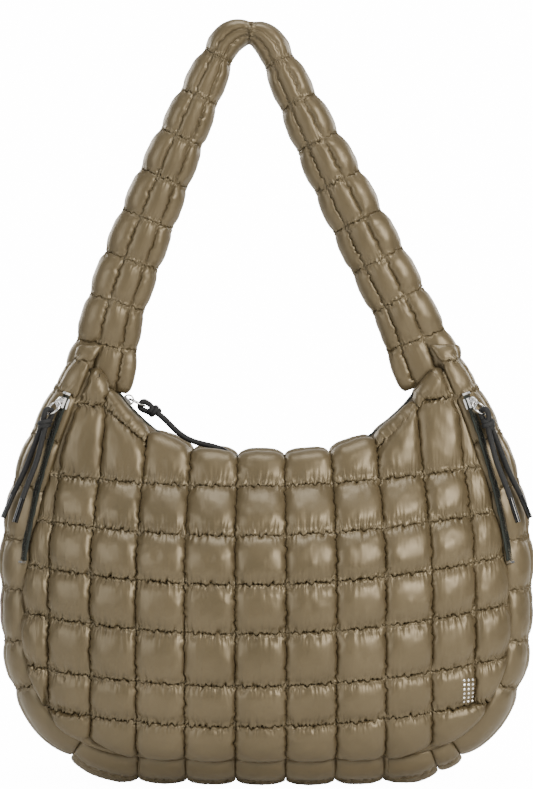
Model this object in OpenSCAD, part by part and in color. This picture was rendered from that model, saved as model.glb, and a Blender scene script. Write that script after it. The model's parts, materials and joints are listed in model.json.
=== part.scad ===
// Quilted puffer hobo bag: two quilted panels, a gusset in three pieces, a padded shoulder strap,
// a top zip and two side pocket zips with ring and cord pulls.
// The bag stands on its flat base at z = 0. The front faces -Y, +X is to the right, +Z is up.

/* [Body] */
// Half width of a panel where it is widest
panel_half_w = 254; // [244:1:264]
// Height at which a panel is widest
widest_z = 184; // [174:1:194]
// Half width of the straight bottom edge of a panel
base_half_w = 128; // [118:1:138]
// Half width at the tips of the corner lobes
lobe_half_w = 190; // [185:1:196]
// Height of the bottom seam of a panel
seam_z = 28; // [26:1:30]
// Height of the rim at the middle of the scooped mouth
rim_z = 351; // [346:1:356]
// Height of the corner lobes
lobe_z = 448; // [444:1:450]
// Half depth of the belly
belly_half_d = 118; // [110:1:124]
// Height of the fullest part of the belly
belly_z = 140; // [130:1:150]
// Half depth at the bottom seam
base_half_d = 85; // [80:1:90]
// Half depth at the tips of the corner lobes
lobe_half_d = 26; // [25:0.5:28]

/* [Layers] */
// Thickness of the nylon face
shell_t = 1.2; // [0.8:0.1:1.4]
// Thickness of the wadding
wadding_t = 11; // [8:0.5:11]
// Thickness of the lining
lining_t = 1; // [0.6:0.1:1]

/* [Strap] */
// Height of the line about which the strap folds
strap_hinge_z = 485; // [483:1:490]
// Half width of the strap at its root, seen from the front
strap_root_half_w = 31; // [26:1:33]
// Half thickness of the strap at its root, front to back
strap_root_half_d = 22; // [18:1:23]
// Half width of the strap at its top, seen from the front
strap_top_half_w = 9.5; // [8:0.5:12]
// Half width of the strap at its top, front to back
strap_top_half_d = 30; // [24:1:32]

/* [Zips] */
// Radius of the curve of the top zip
top_zip_r = 190; // [188:1:192]
// Half angle of the top zip
top_zip_half_a = 54; // [50:1:55]
// Radius of the curve of a pocket zip
side_zip_r = 800; // [780:10:820]
// Half angle of a pocket zip
side_zip_half_a = 6.3; // [5.5:0.1:6.5]
// Height of the middle of a pocket zip
side_zip_z = 319; // [315:1:323]
// Thickness of the pull cords
cord_d = 5.6; // [4.8:0.2:5.8]
// Length of a cord below its knot
cord_leg = 80; // [60:1:84]
// Length of a cord tip
tip_len = 26; // [20:1:28]

/* [Hidden] */

nylon = [0.53, 0.47, 0.36];
wadding_white = [0.93, 0.92, 0.88];
lining_tan = [0.42, 0.37, 0.29];
zip_dark = [0.12, 0.13, 0.10];
metal = [0.72, 0.71, 0.68];
cord_black = [0.06, 0.06, 0.06];

// ---- the shape of the body ----

low_rows = 6;       // rows of the panel mesh below its widest line
high_rows = 8;      // and above it
top_row = low_rows + high_rows;
half_columns = 8;   // columns on each side of the middle of a panel
corner_row = 2;     // the gusset pieces meet this many rows up the rounded corner
corner_shape = 0.8; // roundness of the bottom corners
side_shape = 1.7;   // how the panel's side curves in towards its lobe
rim_shape = 3;      // how steeply the scooped rim rises to the lobes
belly_falloff = 5;  // how sharply the belly closes in to the mouth
panel_fullness = 0.8;
half_w_gain = panel_half_w - base_half_w;
lobe_half_w_loss = panel_half_w - lobe_half_w;

// The layers are laid inwards from the outer face along one field of directions.
field_w = 260;
field_d = 120;
field_z = 120;
layer_gap = 0.35;
wadding_from = shell_t + layer_gap;
lining_from = wadding_from + wadding_t + layer_gap;
pocket_gap = 3;
pocket_from = lining_from + lining_t + pocket_gap;
pocket_t = 2;
seam_gap = 1.5;     // space between the solids on the two sides of a seam
zip_slot = 8;       // how much further a panel stands back where a pocket zip runs
gusset_slot = 0.09; // and the same for the gusset, as a share of its half depth
slot_from_z = 190;
slot_full_z = 215;

function unit(v) = v / norm(v);
function mix(a, b, t) = a + (b - a) * t;
function smooth(t) = let (c = min(1, max(0, t))) c * c * (3 - 2 * c);

// Half depth of the seam between a panel and the gusset: a straight slope from base to lobe.
base_seam_half_d = 67;
seam_slope = (base_seam_half_d - lobe_half_d) / (lobe_z - seam_z);
seam_tilt = atan(seam_slope);
function seam_half_d(z) = lobe_half_d + (lobe_z - z) * seam_slope;

// Half depth of the middle of a panel.
lip_half_d = 26;
mouth_share = 0.56; // where between belly and lobe the depth has fallen by half
function low_share(z) = (belly_z - max(seam_z, z)) / (belly_z - seam_z);
function mouth_reach(z) = (z - belly_z) / (lobe_z - belly_z) / mouth_share;
function belly_d(z) = z < belly_z
    ? base_half_d + (belly_half_d - base_half_d) * sqrt(1 - pow(low_share(z), 2))
    : lip_half_d + (belly_half_d - lip_half_d) / (1 + pow(mouth_reach(z), belly_falloff));

// Half width of a panel at height z.
function below_widest(z) = (widest_z - max(seam_z, z)) / (widest_z - seam_z);
function half_w(z) = z < widest_z
    ? base_half_w + half_w_gain * sqrt(1 - pow(below_widest(z), 2 / corner_shape))
    : panel_half_w - lobe_half_w_loss * pow((z - widest_z) / (lobe_z - widest_z), side_shape);

// Depth of the outer face of a panel at any point of it.
function panel_d(x, z) = let (s = seam_half_d(z))
    s + (belly_d(z) - s) * pow(max(0, 1 - pow(x / half_w(z), 2)), panel_fullness);

// The side edge of a panel, row by row: rounded corner first, then the long side up to the lobe.
function low_angle(r) = 90 * r / low_rows;
function high_share(r) = (r - low_rows) / high_rows;
function edge_x(r) = r < low_rows
    ? base_half_w + half_w_gain * sin(low_angle(r))
    : panel_half_w - lobe_half_w_loss * pow(high_share(r), side_shape);
function edge_z(r) = r < low_rows
    ? widest_z - (widest_z - seam_z) * pow(cos(low_angle(r)), corner_shape)
    : mix(widest_z, lobe_z, high_share(r));
function edge_run(r) = r < low_rows
    ? [half_w_gain * pow(cos(low_angle(r)), 2 - corner_shape),
        (widest_z - seam_z) * corner_shape * sin(low_angle(r))]
    : [-lobe_half_w_loss * side_shape * pow(high_share(r), side_shape - 1), lobe_z - widest_z];
function edge_normal(r) = let (t = unit(edge_run(r))) [t[1], -t[0]];

// How far the gusset stands out past the seam.
base_bulge = 33;
side_bulge = 25;
lobe_bulge = 18;
shoulder_bulge = 12;
function bulge(r) = r < low_rows
    ? mix(base_bulge, side_bulge, sin(low_angle(r)))
    : mix(side_bulge, lobe_bulge, high_share(r)) + shoulder_bulge * sin(180 * high_share(r));
function puff(v) = pow(max(0, 1 - pow(abs(v), 3)), 0.6);

function out_dir(p) = unit(
    [p[0] / pow(field_w, 2), p[1] / pow(field_d, 2), min(0, p[2] - field_z) / pow(field_z, 2)]);
function inset(p, d) = p - d * out_dir(p);

// A point of the front panel: a runs from -1 to 1 across it, r is the row.
function slot_at(z) = smooth((z - slot_from_z) / (slot_full_z - slot_from_z));
function panel_edge(r, zipped) = 1 - (seam_gap + (zipped ? zip_slot * slot_at(edge_z(r)) : 0)) / edge_x(r);
function row_lift(z) = (lobe_z - rim_z) * pow((z - seam_z) / (lobe_z - seam_z), 2);
function panel_point(a, r) = let (
        z = edge_z(r) - row_lift(edge_z(r)) * (1 - pow(abs(a), rim_shape)),
        x = a * edge_x(r))
    [x, -panel_d(x, z), z];

// A point of the right side gusset: v runs from -1 at the front seam to 1 at the back seam.
function gusset_point(r, v) = let (n = edge_normal(r), k = bulge(r) * puff(v))
    [edge_x(r) + n[0] * k, v * seam_half_d(edge_z(r)), max(0, edge_z(r) + n[1] * k)];
function base_point(x, v) = [x, v * panel_d(x, seam_z), max(0, seam_z - base_bulge * puff(v))];
function flip_x(p) = [-p[0], p[1], p[2]];

// ---- thin sheets made of two matching grids of points ----

function quad(a, b, c, d) = [[a, b, c], [a, c, d]];
function joined(lists) = [for (l = lists) each l];
module sheet(outer, inner) {
    nr = len(outer);
    nc = len(outer[0]);
    n = nr * nc;
    points = concat(joined(outer), joined(inner));
    faces = joined(concat(
        [for (i = [0:nr - 2], j = [0:nc - 2]) let (k = i * nc + j) quad(k, k + nc, k + nc + 1, k + 1)],
        [for (i = [0:nr - 2], j = [0:nc - 2]) let (k = n + i * nc + j) quad(k, k + 1, k + nc + 1, k + nc)],
        [for (j = [0:nc - 2]) quad(j, j + 1, n + j + 1, n + j)],
        [for (j = [0:nc - 2]) let (k = (nr - 1) * nc + j) quad(k, n + k, n + k + 1, k + 1)],
        [for (i = [0:nr - 2]) let (k = i * nc) quad(k, n + k, n + k + nc, k + nc)],
        [for (i = [0:nr - 2]) let (k = i * nc + nc - 1) quad(k, k + nc, n + k + nc, n + k)]));
    polyhedron(points, faces);
}
function inset_grid(grid, d) = [for (row = grid) [for (p = row) inset(p, d)]];
module layer(grid, from, thick) sheet(inset_grid(grid, from), inset_grid(grid, from + thick));

front_grid = [for (r = [0:top_row])
    [for (i = [-half_columns:half_columns]) panel_point(panel_edge(r, true) * i / half_columns, r)]];
plain_grid = [for (r = [0:top_row])
    [for (i = [-half_columns:half_columns]) panel_point(panel_edge(r, false) * i / half_columns, r)]];

// Stations across the gusset crowd towards its two seams, where it curves most.
cross_steps = 4;
corner_gap = 0.03;
function gusset_edge(r) = 1 - seam_gap / seam_half_d(edge_z(r));
function gusset_v(i, r) = let (e = gusset_edge(r) - (i < 0 ? gusset_slot * slot_at(edge_z(r)) : 0))
    e * sin(90 * i / cross_steps);
side_rows = [corner_row + corner_gap, for (r = [corner_row + 1:top_row]) r];
side_grid = [for (r = side_rows) [for (i = [-cross_steps:cross_steps]) gusset_point(r, gusset_v(i, r))]];

run_steps = 4;
function cross_v(i) = (1 - seam_gap / base_half_d) * sin(90 * i / cross_steps);
end_row = corner_row - corner_gap;
base_rows = [end_row, for (r = [corner_row - 1:-1:1]) r];
base_grid = concat(
    [for (r = base_rows) [for (i = [-cross_steps:cross_steps]) flip_x(gusset_point(r, cross_v(i)))]],
    [for (s = [-run_steps:run_steps])
        [for (i = [-cross_steps:cross_steps]) base_point(base_half_w * s / run_steps, cross_v(i))]],
    [for (k = [len(base_rows) - 1:-1:0])
        [for (i = [-cross_steps:cross_steps]) gusset_point(base_rows[k], cross_v(i))]]);

module back() mirror([0, 1, 0]) children();
module left() mirror([1, 0, 0]) children();

module front_layer(from, thick) layer(front_grid, from, thick);
module back_layer(from, thick) back() layer(plain_grid, from, thick);
module side_layer(from, thick) layer(side_grid, from, thick);
module base_layer(from, thick) layer(base_grid, from, thick);

// ---- strip sewn over the seam allowances inside the bag ----

binding_w = 5;
binding_t = 1.6;
binding_from = pocket_from + pocket_t + 3;
outline_rows = [for (r = [top_row - 1:-1:1]) r]; // it stops short of the strap's roots
function seam_point(r) = [edge_x(r), -seam_half_d(edge_z(r)), edge_z(r)];
seam_line = concat(
    [for (r = outline_rows) flip_x(seam_point(r))],
    [for (s = [-run_steps:run_steps]) let (x = base_half_w * s / run_steps) [x, -panel_d(x, seam_z), seam_z]],
    [for (i = [len(outline_rows) - 1:-1:0]) seam_point(outline_rows[i])]);
module binding() {
    back_shift = [0, binding_w, 0];
    outer = [for (p = seam_line) let (q = inset(p, binding_from)) [q, q + back_shift]];
    inner = [for (p = seam_line) let (q = inset(p, binding_from + binding_t)) [q, q + back_shift]];
    sheet(inner, outer);
}

// ---- pockets that lie against the lining ----

module pocket(a_from, a_to, row_from, row_to) {
    steps = 5;
    grid = [for (r = [row_from:row_to]) [for (i = [0:steps]) panel_point(mix(a_from, a_to, i / steps), r)]];
    layer(grid, pocket_from, pocket_t);
}
module slip_pocket() back() pocket(-0.36, 0.36, 3, 8);
module zip_pocket() pocket(0.42, 0.88, low_rows + 1, top_row - 2);

// ---- strap ----

root_x = -171; // middle of the left root; the right one is its mirror image
left_foot_x = -160; // the strap leans in from its roots, and hangs a little to the left
right_foot_x = 145;
peak_x = -20;
peak_half_span = 27;
peak_foot_z = 762;
peak_rise = 17.5;
peak_r = (pow(peak_half_span, 2) + pow(peak_rise, 2)) / (2 * peak_rise);
peak_half_a = asin(peak_half_span / peak_r);
strap_gap = 0.8; // space between the strap's skin and its wadding
branch_steps = 12;
peak_steps = 3;
ring_points = 16;

function bezier(p, t) = let (s = 1 - t)
    s * s * s * p[0] + 3 * t * s * s * p[1] + 3 * t * t * s * p[2] + t * t * t * p[3];
left_branch = [[left_foot_x, strap_hinge_z], [-130, 578], [-87, 676],
    [peak_x - peak_half_span, peak_foot_z]];
right_branch = [[right_foot_x, strap_hinge_z], [97, 578], [47, 676],
    [peak_x + peak_half_span, peak_foot_z]];
strap_line = concat(
    [for (i = [0:branch_steps]) bezier(left_branch, i / branch_steps)],
    [for (i = [-peak_steps + 1:peak_steps - 1]) let (a = peak_half_a * i / peak_steps)
        [peak_x + peak_r * sin(a), peak_foot_z + peak_rise - peak_r * (1 - cos(a))]],
    [for (i = [branch_steps:-1:0]) bezier(right_branch, i / branch_steps)]);
last = len(strap_line) - 1;
function run_at(i) = unit(strap_line[min(last, i + 1)] - strap_line[max(0, i - 1)]);
function to_peak(i) = 1 - abs(2 * i / last - 1);
function strap_w(i) = mix(strap_top_half_w, strap_root_half_w, 1 - pow(to_peak(i), 2));
function strap_d(i) = mix(strap_root_half_d, strap_top_half_d, to_peak(i));

// One ring of points around the strap's middle line: c is its centre, t its direction.
function ring(c, t, w, d) = [for (k = [0:ring_points - 1]) let (a = 360 * k / ring_points)
    [c[0] + t[1] * w * cos(a), d * sin(a), c[1] - t[0] * w * cos(a)]];
// Below the fold line each end is round about that line, so the strap can swing past the lobes.
end_angles = [30, 55, 74];
end_taper = 0.6;
function end_ring(i, sign, a, depth) = let (t = run_at(i), d = strap_root_half_d - depth)
    ring(strap_line[i] - sign * t * d * sin(a), t,
        (strap_w(i) - depth) * mix(1, cos(a), end_taper), d * cos(a));
function strap_rings(depth) = concat(
    [for (k = [len(end_angles) - 1:-1:0]) end_ring(0, 1, end_angles[k], depth)],
    [for (i = [0:last]) ring(strap_line[i], run_at(i), strap_w(i) - depth, strap_d(i) - depth)],
    [for (a = end_angles) end_ring(last, -1, a, depth)]);
function ring_quads(n, from) = [for (i = [0:n - 2], j = [0:ring_points - 1])
    let (k = from + i * ring_points, m = k + ring_points, j2 = (j + 1) % ring_points)
        [k + j, k + j2, m + j2, m + j]];
function turned(f) = [for (q = f) [q[3], q[2], q[1], q[0]]];
function cut(f) = joined([for (q = f) quad(q[0], q[1], q[2], q[3])]);

module strap_shell() color(nylon) {
    outer = strap_rings(0);
    inner = strap_rings(shell_t);
    n = len(outer);
    m = n * ring_points;
    near = [for (j = [0:ring_points - 1]) let (j2 = (j + 1) % ring_points) [m + j, m + j2, j2, j]];
    far = [for (j = [0:ring_points - 1]) let (k = m - ring_points, j2 = (j + 1) % ring_points)
        [k + j, k + j2, m + k + j2, m + k + j]];
    polyhedron(joined(concat(outer, inner)),
        cut(concat(ring_quads(n, 0), turned(ring_quads(n, m)), near, far)));
}
module strap_wadding() color(wadding_white) {
    rings = strap_rings(shell_t + strap_gap);
    n = len(rings);
    m = n * ring_points;
    near = [for (j = [1:ring_points - 2]) [0, j + 1, j]];
    far = [for (j = [1:ring_points - 2]) [m - ring_points, m - ring_points + j, m - ring_points + j + 1]];
    polyhedron(joined(rings), concat(cut(ring_quads(n, 0)), near, far));
}

// Stack of fabric, sewn between the lobes, that the strap's end is stitched to.
root_w = 26;
root_t = 18;
root_low = 410;
root_high = 458;
root_lean = 4;
module strap_root(x) color(nylon)
    translate([x, root_t / 2, 0]) rotate([90, 0, 0]) linear_extrude(root_t)
        polygon([[-root_w / 2, root_low], [root_w / 2, root_low],
            [root_w / 2 - root_lean, root_high], [-root_w / 2 - root_lean, root_high]]);

// ---- zips ----
// Every zip lies on an arc. In a zip's own frame the arc's axis is z.
// At the slider x points out of the bag.

coil_half_w = 2.9;
coil_half_t = 1.5;
coil_gap = 0.9;
tape_to = 8;
tape_t = 1;
slider_len = 12;
slider_half_w = 5.2;
slider_half_t = 3.4;
plate_t = 1.4;
flange_t = 0.8;
tape_slot = 1.8;
post_t = 0.5;
bail_r = 5.2;
bail_wire = 0.9;
ring_r = 8.5;
ring_wire = 1.1;
ring_height = 4.7; // height of the ring's hinge above the middle of the tape
ring_lean = 25;    // the ring leans out of the bag where the cord holds it off
cord_r = cord_d / 2;
loop_r = cord_r + ring_wire + 0.4;
knot_r = 7.5;
leg_gap = 1.2;
side_splay = 5;
tip_wall = 0.6;
tip_fit = 0.05;

// Half of the coil or the tape's cross-section, on both sides of the middle.
tape_from = coil_half_w + 0.1;
module coil_profile() for (s = [-1, 1]) translate([0, s * (coil_half_w + coil_gap / 2) / 2])
    square([2 * coil_half_t, coil_half_w - coil_gap / 2], center = true);
module tape_profile() for (s = [-1, 1]) translate([0, s * (tape_from + tape_to) / 2])
    square([tape_t, tape_to - tape_from], center = true);
stop_len = 2.2;
module stop_profile() square([2 * coil_half_t + 2, 2 * coil_half_w + 1.2], center = true);

// Sweeps a cross-section along an arc; turn tips the cross-section about the arc's own line.
module swept(r, a_from, a_to, turn) rotate([0, 0, a_from]) rotate_extrude(angle = a_to - a_from, $fn = 180)
    translate([r, 0]) rotate(turn) children();
module at_arc(r, a, turn) rotate([0, 0, a]) translate([r, 0, 0]) rotate([0, -turn, 0]) children();

module slider() color(metal) difference() {
    union() {
        for (s = [-1, 1]) {
            translate([s * (slider_half_t - plate_t / 2), 0, 0])
                cube([plate_t, slider_len, 2 * slider_half_w], center = true);
            for (w = [-1, 1])
                translate([s * (slider_half_t + tape_slot / 2) / 2, 0, w * (slider_half_w - flange_t / 2)])
                    cube([slider_half_t - tape_slot / 2, slider_len, flange_t], center = true);
        }
        translate([0, slider_len / 4, 0])
            cube([2 * slider_half_t - plate_t, slider_len / 2, post_t], center = true);
        translate([slider_half_t - 0.4, 0, 0]) rotate([0, 0, -90])
            rotate_extrude(angle = 180, $fn = 32) translate([bail_r, 0]) circle(r = bail_wire, $fn = 24);
    }
    for (w = [-1, 1])
        translate([0, -slider_len / 2, w * (slider_half_w + 1)]) rotate([45, 0, 0])
            cube([3 * slider_half_t, 3, 3], center = true);
}

module pull_ring() color(metal)
    translate([ring_height, 0, 0]) rotate([0, 0, ring_lean]) translate([0, -ring_r, 0])
        rotate([0, 90, 0]) rotate_extrude($fn = 60) translate([ring_r, 0]) circle(r = ring_wire, $fn = 24);

// The cord is doubled through the ring and tied in one knot; lean tips it out of the bag.
module at_cord(lean) translate([ring_height + 2 * ring_r * sin(ring_lean), -2 * ring_r * cos(ring_lean), 0])
    rotate([0, 0, lean]) children();
leg_z = cord_r + leg_gap / 2;
knot_y = -(loop_r + knot_r - 1);
// The two legs below the knot stand splay degrees apart from straight, each its own way.
module leg(s, splay) translate([0, knot_y, s * leg_z]) rotate([90 - s * splay, 0, 0]) children();
module cord(lean, splay) color(cord_black) at_cord(lean) {
    rotate_extrude($fn = 48) translate([loop_r, 0]) circle(r = cord_r, $fn = 24);
    translate([0, knot_y, 0]) sphere(r = knot_r, $fn = 48);
    for (s = [-1, 1]) leg(s, splay) {
        cylinder(r = cord_r, h = cord_leg, $fn = 32);
        cylinder(r = cord_r - tip_wall, h = cord_leg + tip_len - 2, $fn = 32);
    }
}
module tips(lean, splay) color(cord_black) at_cord(lean)
    for (s = [-1, 1]) leg(s, splay) translate([0, 0, cord_leg + tip_fit]) difference() {
        cylinder(r = cord_r, h = tip_len, $fn = 32);
        translate([0, 0, -1]) cylinder(r = cord_r - tip_wall + tip_fit, h = tip_len, $fn = 32);
    }

stop_gap = 0.8;
function arc_a(r, len) = len / r * 180 / PI;

// The top zip hangs in a valley: its outer side faces the centre of its arc.
zip_drop = 25; // the middle of the top zip lies this far below the rim
top_centre_z = rim_z - zip_drop + top_zip_r;
top_from = 270 - top_zip_half_a;
top_to = 270 + top_zip_half_a;
top_rest = top_from + arc_a(top_zip_r, slider_len);
top_cord_lean = 21;
module top_zip() translate([0, 0, top_centre_z]) rotate([90, 0, 0]) children();
module top_pull() top_zip() at_arc(top_zip_r, top_rest, 0) rotate([0, 0, 180]) children();
module stops(r, a_from, a_to, turn) color(metal) {
    swept(r, a_from - arc_a(r, stop_gap + stop_len), a_from - arc_a(r, stop_gap), turn) stop_profile();
    swept(r, a_to + arc_a(r, stop_gap), a_to + arc_a(r, stop_gap + stop_len), turn) stop_profile();
}

// A pocket zip follows the seam, which lies in a plane that tips back with height.
side_mid_w = half_w(side_zip_z);
side_slope = atan((half_w(side_zip_z - 1) - half_w(side_zip_z + 1)) / 2 * cos(seam_tilt));
side_mouth_turn = 37; // the zip faces out between the front and the side
side_from = side_slope - side_zip_half_a;
side_to = side_slope + side_zip_half_a;
side_rest = side_to - arc_a(side_zip_r, slider_len * 0.75);
module side_zip() translate([0, -seam_half_d(side_zip_z), side_zip_z]) rotate([-seam_tilt, 0, 0])
    translate([side_mid_w - side_zip_r * cos(side_slope), 0, -side_zip_r * sin(side_slope)])
        rotate([90, 0, 0]) children();
module side_pull() side_zip() at_arc(side_zip_r, side_rest, side_mouth_turn) children();

module top_tapes() color(zip_dark) top_zip() swept(top_zip_r, top_from, top_to, 0) tape_profile();
module top_coils() color(zip_dark) top_zip() swept(top_zip_r, top_from, top_to, 0) coil_profile();
module side_swept() side_zip() swept(side_zip_r, side_from, side_to, side_mouth_turn) children();
module side_tapes() color(zip_dark) side_swept() tape_profile();
module side_coils() color(zip_dark) side_swept() coil_profile();
module side_stops() side_zip() stops(side_zip_r, side_from, side_to, side_mouth_turn);

// Strip of lining between the top zip's tape and the rim.
facing_steps = 14;
facing_t = 1;
module facing() color(lining_tan) {
    span = top_zip_half_a - 3;
    rows = [for (i = [-facing_steps / 2:facing_steps / 2]) let (
            a = span * 2 * i / facing_steps,
            x = top_zip_r * sin(a),
            z = top_centre_z - top_zip_r * cos(a),
            rim = rim_z + (lobe_z - rim_z) * pow(abs(x) / lobe_half_w, rim_shape) - 4,
            y = panel_d(x, rim) - pocket_from - 0.6)
        [[x, -tape_to - 0.3, z], [x, -y, min(rim, z)]]];
    under = [for (row = rows) [for (p = row) p - [0, 0, facing_t]]];
    sheet(under, rows);
}

// ---- small mark of plain studs on the lower right of the front ----

stud_rows = 6;
stud_columns = 3;
stud_pitch = 4.5;
stud_r = 1.3;
stud_h = 0.9;
stud_x = 205;
stud_z = 103;
stud_turn = 32; // the panel faces partly to the side there
module studs() color([0.86, 0.84, 0.8])
    for (i = [0:stud_columns - 1], j = [0:stud_rows - 1]) {
        x = stud_x + (i - (stud_columns - 1) / 2) * stud_pitch;
        z = stud_z + (j - (stud_rows - 1) / 2) * stud_pitch;
        translate([x, -panel_d(x, z) - 0.3, z]) rotate([90, 0, stud_turn])
            cylinder(r = stud_r, h = stud_h, $fn = 16);
    }

module shell_of() color(nylon) children();
module wadding_of() color(wadding_white) children();
module lining_of() color(lining_tan) children();

shell_of() front_layer(0, shell_t);  // front_shell
shell_of() back_layer(0, shell_t);  // back_shell
shell_of() left() side_layer(0, shell_t);  // left_gusset_shell
shell_of() side_layer(0, shell_t);  // right_gusset_shell
shell_of() base_layer(0, shell_t);  // bottom_gusset_shell
wadding_of() front_layer(wadding_from, wadding_t);  // front_wadding
wadding_of() back_layer(wadding_from, wadding_t);  // back_wadding
wadding_of() left() side_layer(wadding_from, wadding_t);  // left_gusset_wadding
wadding_of() side_layer(wadding_from, wadding_t);  // right_gusset_wadding
wadding_of() base_layer(wadding_from, wadding_t);  // bottom_gusset_wadding
lining_of() front_layer(lining_from, lining_t);  // front_lining
lining_of() back_layer(lining_from, lining_t);  // back_lining
lining_of() left() side_layer(lining_from, lining_t);  // left_gusset_lining
lining_of() side_layer(lining_from, lining_t);  // right_gusset_lining
lining_of() base_layer(lining_from, lining_t);  // bottom_gusset_lining
lining_of() binding();  // front_seam_binding
lining_of() back() binding();  // back_seam_binding
lining_of() slip_pocket();  // inner_slip_pocket
lining_of() left() zip_pocket();  // left_pocket_bag
lining_of() zip_pocket();  // right_pocket_bag
strap_root(root_x);  // left_strap_root
mirror([1, 0, 0]) strap_root(root_x);  // right_strap_root
strap_shell();
strap_wadding();
facing();  // top_zip_front_facing
back() facing();  // top_zip_back_facing
top_tapes();  // top_zip_tapes
top_coils();  // top_zip_coils
top_zip() stops(top_zip_r, top_from, top_to, 0);  // top_zip_stops
top_pull() slider();  // top_zip_slider
top_pull() pull_ring();  // top_zip_ring
top_pull() cord(top_cord_lean, 0);  // top_zip_cord
top_pull() tips(top_cord_lean, 0);  // top_zip_tips
left() side_tapes();  // left_zip_tapes
left() side_coils();  // left_zip_coils
left() side_stops();  // left_zip_stops
left() side_pull() slider();  // left_zip_slider
left() side_pull() pull_ring();  // left_zip_ring
left() side_pull() cord(0, side_splay);  // left_zip_cord
left() side_pull() tips(0, side_splay);  // left_zip_tips
side_tapes();  // right_zip_tapes
side_coils();  // right_zip_coils
side_stops();  // right_zip_stops
side_pull() slider();  // right_zip_slider
side_pull() pull_ring();  // right_zip_ring
side_pull() cord(0, side_splay);  // right_zip_cord
side_pull() tips(0, side_splay);  // right_zip_tips
studs();  // emblem_studs
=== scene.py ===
"""Looks of the quilted hobo bag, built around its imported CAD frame. Metres, +Z up, the front faces -Y."""

import json
import math

import bpy
import numpy as np
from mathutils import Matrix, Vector
from mathutils.bvhtree import BVHTree

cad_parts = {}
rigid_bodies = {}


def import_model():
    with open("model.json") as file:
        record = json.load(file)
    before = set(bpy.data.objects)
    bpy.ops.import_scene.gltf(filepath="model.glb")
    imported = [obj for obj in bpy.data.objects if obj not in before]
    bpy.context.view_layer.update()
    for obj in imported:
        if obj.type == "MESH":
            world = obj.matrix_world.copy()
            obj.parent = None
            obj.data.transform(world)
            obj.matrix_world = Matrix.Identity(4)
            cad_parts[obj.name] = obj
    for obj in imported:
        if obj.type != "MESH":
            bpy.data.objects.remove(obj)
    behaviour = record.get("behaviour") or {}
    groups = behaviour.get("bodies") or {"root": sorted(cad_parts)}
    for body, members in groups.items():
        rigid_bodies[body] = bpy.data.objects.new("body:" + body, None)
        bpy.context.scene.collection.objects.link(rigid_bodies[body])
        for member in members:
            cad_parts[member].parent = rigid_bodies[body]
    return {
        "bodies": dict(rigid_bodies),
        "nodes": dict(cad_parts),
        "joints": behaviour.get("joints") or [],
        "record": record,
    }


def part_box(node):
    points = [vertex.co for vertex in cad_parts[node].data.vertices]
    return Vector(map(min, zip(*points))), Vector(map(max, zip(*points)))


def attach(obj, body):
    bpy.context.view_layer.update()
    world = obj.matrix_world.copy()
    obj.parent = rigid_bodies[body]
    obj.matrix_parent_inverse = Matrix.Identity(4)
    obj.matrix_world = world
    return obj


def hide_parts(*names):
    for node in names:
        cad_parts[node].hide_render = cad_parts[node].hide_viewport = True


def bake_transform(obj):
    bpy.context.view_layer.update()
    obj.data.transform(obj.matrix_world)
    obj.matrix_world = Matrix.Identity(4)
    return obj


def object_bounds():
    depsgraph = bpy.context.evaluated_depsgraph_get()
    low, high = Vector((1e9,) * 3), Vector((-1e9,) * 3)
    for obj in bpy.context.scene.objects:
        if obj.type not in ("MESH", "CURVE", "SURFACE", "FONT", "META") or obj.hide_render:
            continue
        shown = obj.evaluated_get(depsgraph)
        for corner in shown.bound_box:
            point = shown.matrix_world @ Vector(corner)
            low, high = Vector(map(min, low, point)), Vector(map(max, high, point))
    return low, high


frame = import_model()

cad_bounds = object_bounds()
MM = 0.001

# ---------------------------------------------------------------- sizes from the frame

front_low, front_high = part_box("front_shell")

LOBE_Z = front_high.z
SEAM_Z = front_low.z
PANEL_HALF_W = front_high.x + 1.5 * MM
BELLY_HALF_D = -front_low.y
LOBE_HALF_D = 26 * MM
BASE_SEAM_HALF_D = 67 * MM
BASE_HALF_D = 85 * MM
BASE_HALF_W = 128 * MM
LOBE_HALF_W = 190 * MM
WIDEST_Z = 184 * MM
BELLY_Z = 140 * MM
RIM_Z = 351 * MM
LIP_HALF_D = 26 * MM
joints = {j["name"]: j for j in frame["joints"]}

HALF_W_GAIN = PANEL_HALF_W - BASE_HALF_W
LOBE_LOSS = PANEL_HALF_W - LOBE_HALF_W
CORNER_SHAPE = 0.8
SIDE_SHAPE = 1.7
PANEL_FULLNESS = 0.8
MOUTH_SHARE = 0.56      # where between belly and lobe the depth has fallen by half
BELLY_FALLOFF = 5
RIM_SHAPE = 3
SEAM_SLOPE = (BASE_SEAM_HALF_D - LOBE_HALF_D) / (LOBE_Z - SEAM_Z)

# The seams lie this far inside the CAD skin, and the puffs between them rise back through it.
SEAM_INSET = 10 * MM
PUFF_HEIGHT = 15 * MM


def smooth(t):
    t = np.clip(t, 0, 1)
    return t * t * (3 - 2 * t)


def unit(v):
    return v / np.maximum(np.linalg.norm(v, axis=-1, keepdims=True), 1e-12)


def mix(a, b, t):
    return a + (b - a) * t


# ---------------------------------------------------------------- meshes

def grid_faces(rows, columns, start=0, ring=False):
    """Faces between the points of a grid, numbered from start. A ring joins the last column to the first."""
    index = np.arange(rows * columns).reshape(rows, columns) + start
    if ring:
        index = np.concatenate([index, index[:, :1]], 1)
    return np.stack([index[:-1, :-1], index[1:, :-1], index[1:, 1:], index[:-1, 1:]], -1).reshape(-1, 4)


def clean_faces(faces):
    """Drops repeated corners, and faces left with fewer than three."""
    out = []
    for f in faces:
        g = [int(f[i]) for i in range(len(f)) if f[i] != f[i - 1]]
        if len(set(g)) >= 3 and len(set(g)) == len(g):
            out.append(g)
    return out


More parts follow.
